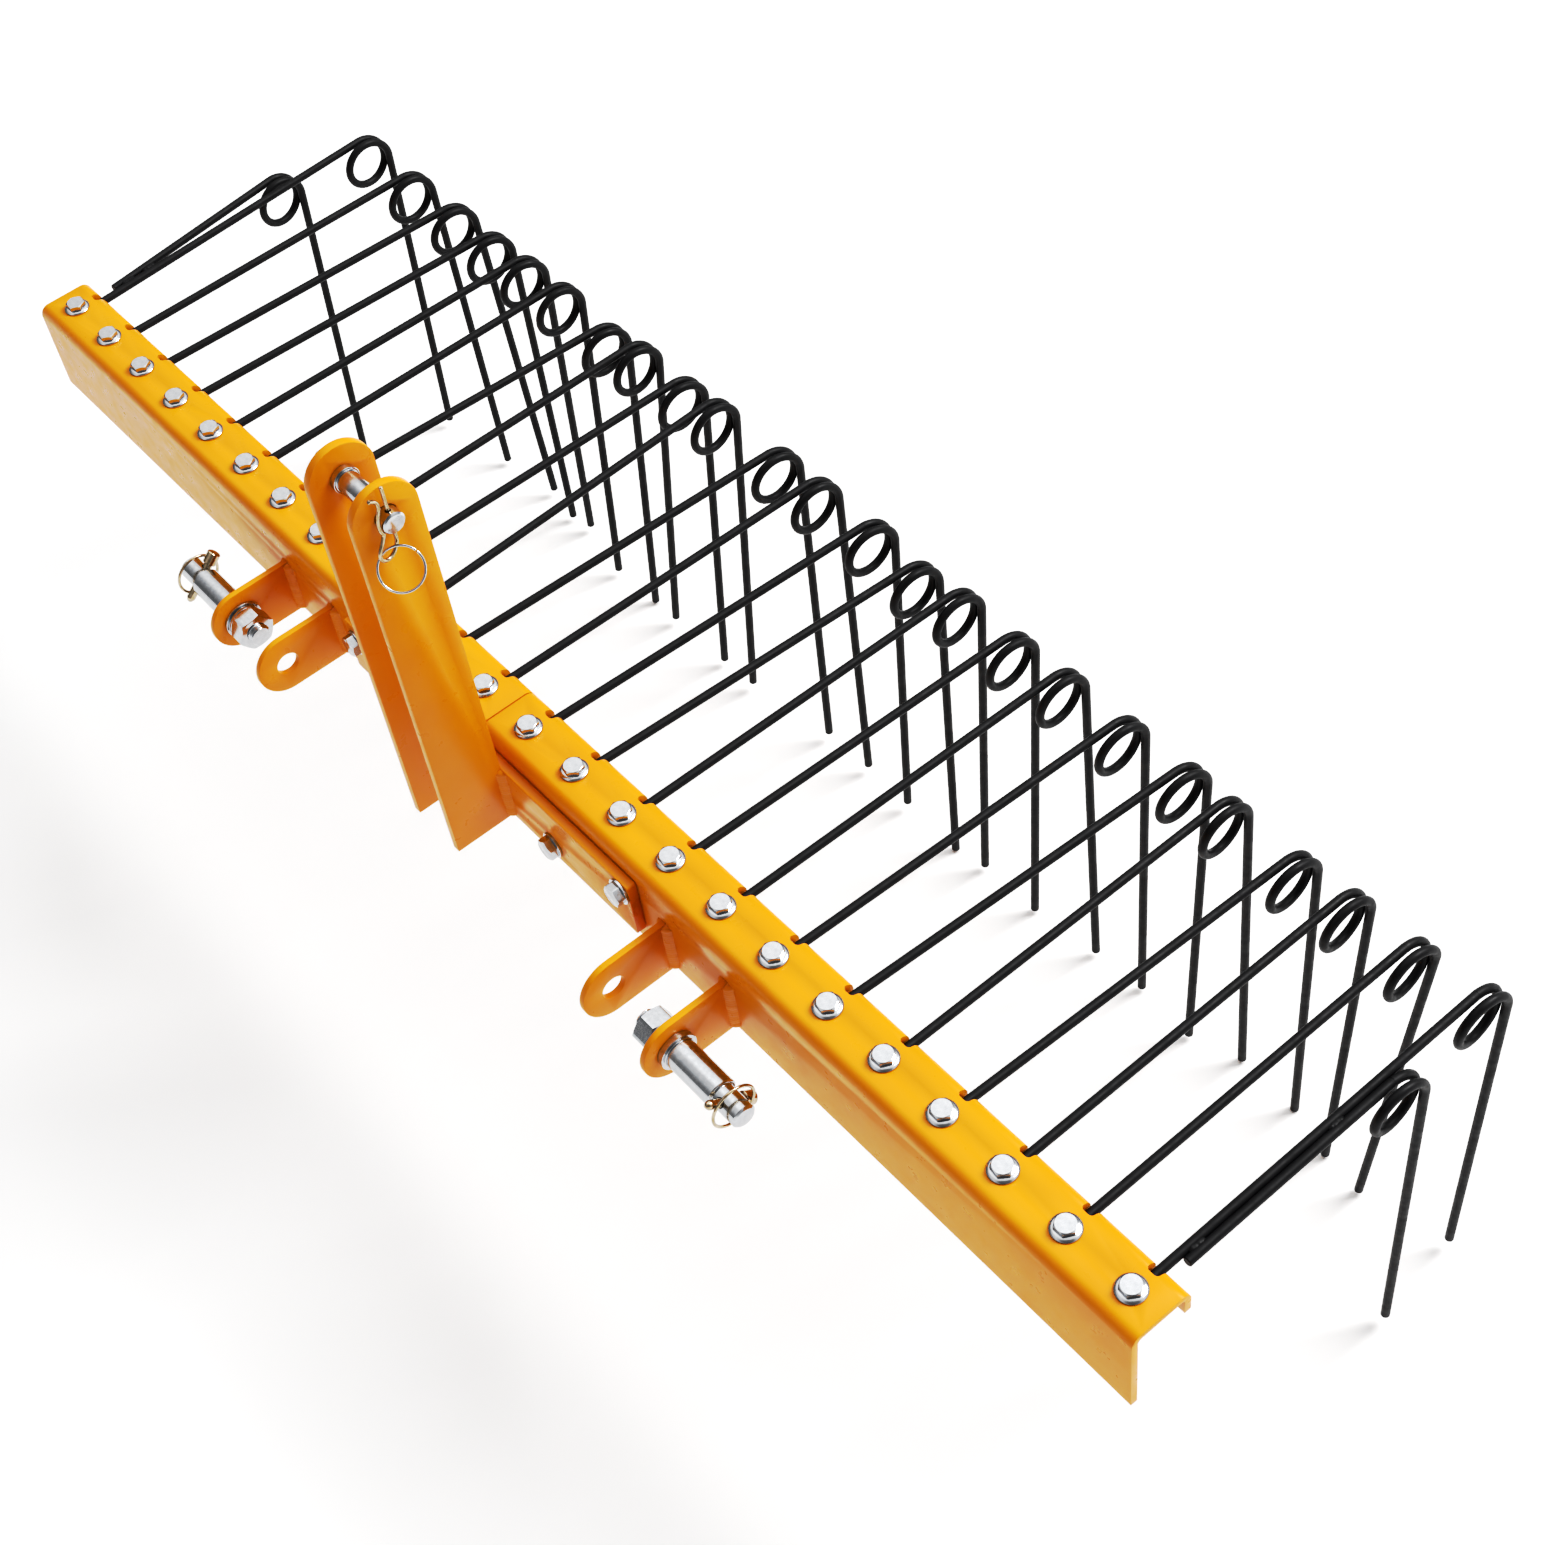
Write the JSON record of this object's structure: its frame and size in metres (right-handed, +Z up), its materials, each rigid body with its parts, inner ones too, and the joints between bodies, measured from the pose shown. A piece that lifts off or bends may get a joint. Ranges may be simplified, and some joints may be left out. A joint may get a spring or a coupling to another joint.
{
  "type": "three-point hitch pine straw rake",
  "caption": "Tractor-mounted landscape rake: a formed steel beam with a hitch mast and lugs, and a row of coil-spring wire tines that flex as they drag.",
  "frame": {"origin": "on the ground, under the centre of the rake's bounding box", "axes": "+X along the beam, towards the end that the hairpin clip is on. +Y to the rear, the way the tines trail, so the tractor is at -Y. +Z up, from the tine tips"},
  "size_m": [1.5394, 0.508, 0.7499],
  "materials": {
    "orange_paint": "semi-gloss powder coat",
    "black_spring_steel": "satin black oxide on spring wire",
    "bright_zinc": "bright zinc plate",
    "yellow_zinc": "warm zinc plate"
  },
  "bodies": {
    "rake_frame": {"beam_left": "orange_paint", "beam_right": "orange_paint", "hitch_pin_left": "bright_zinc", "hitch_pin_right": "bright_zinc", "mast_bracket": "orange_paint", "tine_arm_01": "black_spring_steel", "tine_arm_02": "black_spring_steel", "tine_arm_03": "black_spring_steel", "tine_arm_04": "black_spring_steel", "tine_arm_05": "black_spring_steel", "tine_arm_06": "black_spring_steel", "tine_arm_07": "black_spring_steel", "tine_arm_08": "black_spring_steel", "tine_arm_09": "black_spring_steel", "tine_arm_10": "black_spring_steel", "tine_arm_11": "black_spring_steel", "tine_arm_12": "black_spring_steel", "tine_arm_13": "black_spring_steel", "tine_arm_14": "black_spring_steel", "tine_arm_15": "black_spring_steel", "tine_arm_16": "black_spring_steel", "tine_arm_17": "black_spring_steel", "tine_arm_18": "black_spring_steel", "tine_arm_19": "black_spring_steel", "tine_arm_20": "black_spring_steel", "tine_arm_21": "black_spring_steel", "tine_arm_22": "black_spring_steel", "tine_arm_23": "black_spring_steel", "tine_arm_24": "black_spring_steel", "top_link_pin": "bright_zinc"},
    "hairpin_clip": {"hairpin_clip": "yellow_zinc"},
    "hairpin_ring": {"hairpin_ring": "bright_zinc"},
    "linch_pin_left": {"linch_pin_left": "yellow_zinc"},
    "linch_pin_right": {"linch_pin_right": "yellow_zinc"},
    "outer_leg_left": {"outer_leg_left": "black_spring_steel"},
    "outer_leg_right": {"outer_leg_right": "black_spring_steel"},
    "tine_leg_01": {"tine_leg_01": "black_spring_steel"},
    "tine_leg_02": {"tine_leg_02": "black_spring_steel"},
    "tine_leg_03": {"tine_leg_03": "black_spring_steel"},
    "tine_leg_04": {"tine_leg_04": "black_spring_steel"},
    "tine_leg_05": {"tine_leg_05": "black_spring_steel"},
    "tine_leg_06": {"tine_leg_06": "black_spring_steel"},
    "tine_leg_07": {"tine_leg_07": "black_spring_steel"},
    "tine_leg_08": {"tine_leg_08": "black_spring_steel"},
    "tine_leg_09": {"tine_leg_09": "black_spring_steel"},
    "tine_leg_10": {"tine_leg_10": "black_spring_steel"},
    "tine_leg_11": {"tine_leg_11": "black_spring_steel"},
    "tine_leg_12": {"tine_leg_12": "black_spring_steel"},
    "tine_leg_13": {"tine_leg_13": "black_spring_steel"},
    "tine_leg_14": {"tine_leg_14": "black_spring_steel"},
    "tine_leg_15": {"tine_leg_15": "black_spring_steel"},
    "tine_leg_16": {"tine_leg_16": "black_spring_steel"},
    "tine_leg_17": {"tine_leg_17": "black_spring_steel"},
    "tine_leg_18": {"tine_leg_18": "black_spring_steel"},
    "tine_leg_19": {"tine_leg_19": "black_spring_steel"},
    "tine_leg_20": {"tine_leg_20": "black_spring_steel"},
    "tine_leg_21": {"tine_leg_21": "black_spring_steel"},
    "tine_leg_22": {"tine_leg_22": "black_spring_steel"},
    "tine_leg_23": {"tine_leg_23": "black_spring_steel"},
    "tine_leg_24": {"tine_leg_24": "black_spring_steel"}
  },
  "joints": [
    {"name": "clip_slide", "type": "slide", "parent": "rake_frame", "child": "hairpin_clip", "axis": [0, 0, -1], "range_m": [0, 0.004]},
    {"name": "hairpin_ring_swing", "type": "hinge", "parent": "hairpin_clip", "child": "hairpin_ring", "pos_m": [0.05516, -0.21957, 0.68838], "axis": [0.181, -0.7229, 0.6669], "range_deg": [-45, 6]},
    {"name": "linch_pin_left_slide", "type": "slide", "parent": "rake_frame", "child": "linch_pin_left", "axis": [0, 0.7431, 0.6691], "range_m": [0, 0.007]},
    {"name": "linch_pin_right_slide", "type": "slide", "parent": "rake_frame", "child": "linch_pin_right", "axis": [0, 0.7771, -0.6293], "range_m": [0, 0.007]},
    {"name": "tine_outer_left_flex", "type": "hinge", "parent": "rake_frame", "child": "outer_leg_left", "pos_m": [-0.75284, 0.11659, 0.37999], "axis": [0.9917, 0.1288, 0], "range_deg": [-10, 30], "stiffness_Nm_per_rad": 128},
    {"name": "tine_outer_right_flex", "type": "hinge", "parent": "rake_frame", "child": "outer_leg_right", "pos_m": [0.7604, 0.11745, 0.38069], "axis": [1, 0.0017, 0], "range_deg": [-10, 30], "stiffness_Nm_per_rad": 128},
    {"name": "tine_01_flex", "type": "hinge", "parent": "rake_frame", "child": "tine_leg_01", "pos_m": [-0.73637, 0.21646, 0.38028], "axis": [0.9981, 0.061, 0], "range_deg": [-10, 30], "stiffness_Nm_per_rad": 128},
    {"name": "tine_02_flex", "type": "hinge", "parent": "rake_frame", "child": "tine_leg_02", "pos_m": [-0.65712, 0.21658, 0.37528], "axis": [0.9998, 0.0175, 0], "range_deg": [-10, 30], "stiffness_Nm_per_rad": 128},
    {"name": "tine_03_flex", "type": "hinge", "parent": "rake_frame", "child": "tine_leg_03", "pos_m": [-0.57787, 0.21602, 0.37728], "axis": [0.9997, -0.0262, 0], "range_deg": [-10, 30], "stiffness_Nm_per_rad": 128},
    {"name": "tine_04_flex", "type": "hinge", "parent": "rake_frame", "child": "tine_leg_04", "pos_m": [-0.51407, 0.21602, 0.37628], "axis": [0.9997, -0.0262, 0], "range_deg": [-10, 30], "stiffness_Nm_per_rad": 128},
    {"name": "tine_05_flex", "type": "hinge", "parent": "rake_frame", "child": "tine_leg_05", "pos_m": [-0.45645, 0.21632, 0.37828], "axis": [1, -0.0087, 0], "range_deg": [-10, 30], "stiffness_Nm_per_rad": 128},
    {"name": "tine_06_flex", "type": "hinge", "parent": "rake_frame", "child": "tine_leg_06", "pos_m": [-0.39574, 0.21643, 0.37928], "axis": [1, 0, 0], "range_deg": [-10, 30], "stiffness_Nm_per_rad": 128},
    {"name": "tine_07_flex", "type": "hinge", "parent": "rake_frame", "child": "tine_leg_07", "pos_m": [-0.32267, 0.21602, 0.37128], "axis": [0.9997, -0.0262, 0], "range_deg": [-10, 30], "stiffness_Nm_per_rad": 128},
    {"name": "tine_08_flex", "type": "hinge", "parent": "rake_frame", "child": "tine_leg_08", "pos_m": [-0.27122, 0.21652, 0.37928], "axis": [1, 0.0087, 0], "range_deg": [-10, 30], "stiffness_Nm_per_rad": 128},
    {"name": "tine_09_flex", "type": "hinge", "parent": "rake_frame", "child": "tine_leg_09", "pos_m": [-0.20125, 0.21632, 0.37828], "axis": [1, -0.0087, 0], "range_deg": [-10, 30], "stiffness_Nm_per_rad": 128},
    {"name": "tine_10_flex", "type": "hinge", "parent": "rake_frame", "child": "tine_leg_10", "pos_m": [-0.1529, 0.21661, 0.38128], "axis": [0.9994, 0.0349, 0], "range_deg": [-10, 30], "stiffness_Nm_per_rad": 128},
    {"name": "tine_11_flex", "type": "hinge", "parent": "rake_frame", "child": "tine_leg_11", "pos_m": [-0.0613, 0.2156, 0.38128], "axis": [0.999, -0.0436, 0], "range_deg": [-10, 30], "stiffness_Nm_per_rad": 128},
    {"name": "tine_12_flex", "type": "hinge", "parent": "rake_frame", "child": "tine_leg_12", "pos_m": [-0.00676, 0.21618, 0.38028], "axis": [0.9998, -0.0175, 0], "range_deg": [-10, 30], "stiffness_Nm_per_rad": 128},
    {"name": "tine_13_flex", "type": "hinge", "parent": "rake_frame", "child": "tine_leg_13", "pos_m": [0.06938, 0.21536, 0.38128], "axis": [0.9986, -0.0523, 0], "range_deg": [-10, 30], "stiffness_Nm_per_rad": 128},
    {"name": "tine_14_flex", "type": "hinge", "parent": "rake_frame", "child": "tine_leg_14", "pos_m": [0.12701, 0.21582, 0.37028], "axis": [0.9994, -0.0349, 0], "range_deg": [-10, 30], "stiffness_Nm_per_rad": 128},
    {"name": "tine_15_flex", "type": "hinge", "parent": "rake_frame", "child": "tine_leg_15", "pos_m": [0.18155, 0.21632, 0.37628], "axis": [1, -0.0087, 0], "range_deg": [-10, 30], "stiffness_Nm_per_rad": 128},
    {"name": "tine_16_flex", "type": "hinge", "parent": "rake_frame", "child": "tine_leg_16", "pos_m": [0.24844, 0.21618, 0.37328], "axis": [0.9998, -0.0175, 0], "range_deg": [-10, 30], "stiffness_Nm_per_rad": 128},
    {"name": "tine_17_flex", "type": "hinge", "parent": "rake_frame", "child": "tine_leg_17", "pos_m": [0.30915, 0.21632, 0.37528], "axis": [1, -0.0087, 0], "range_deg": [-10, 30], "stiffness_Nm_per_rad": 128},
    {"name": "tine_18_flex", "type": "hinge", "parent": "rake_frame", "child": "tine_leg_18", "pos_m": [0.37913, 0.21602, 0.37328], "axis": [0.9997, -0.0262, 0], "range_deg": [-10, 30], "stiffness_Nm_per_rad": 128},
    {"name": "tine_19_flex", "type": "hinge", "parent": "rake_frame", "child": "tine_leg_19", "pos_m": [0.4491, 0.2156, 0.37428], "axis": [0.999, -0.0436, 0], "range_deg": [-10, 30], "stiffness_Nm_per_rad": 128},
    {"name": "tine_20_flex", "type": "hinge", "parent": "rake_frame", "child": "tine_leg_20", "pos_m": [0.49438, 0.21652, 0.37028], "axis": [1, 0.0087, 0], "range_deg": [-10, 30], "stiffness_Nm_per_rad": 128},
    {"name": "tine_21_flex", "type": "hinge", "parent": "rake_frame", "child": "tine_leg_21", "pos_m": [0.56744, 0.21618, 0.36828], "axis": [0.9998, -0.0175, 0], "range_deg": [-10, 30], "stiffness_Nm_per_rad": 128},
    {"name": "tine_22_flex", "type": "hinge", "parent": "rake_frame", "child": "tine_leg_22", "pos_m": [0.62197, 0.21652, 0.37128], "axis": [1, 0.0087, 0], "range_deg": [-10, 30], "stiffness_Nm_per_rad": 128},
    {"name": "tine_23_flex", "type": "hinge", "parent": "rake_frame", "child": "tine_leg_23", "pos_m": [0.68578, 0.21652, 0.37228], "axis": [1, 0.0087, 0], "range_deg": [-10, 30], "stiffness_Nm_per_rad": 128},
    {"name": "tine_24_flex", "type": "hinge", "parent": "rake_frame", "child": "tine_leg_24", "pos_m": [0.75266, 0.21643, 0.38128], "axis": [1, 0, 0], "range_deg": [-10, 30], "stiffness_Nm_per_rad": 128}
  ]
}
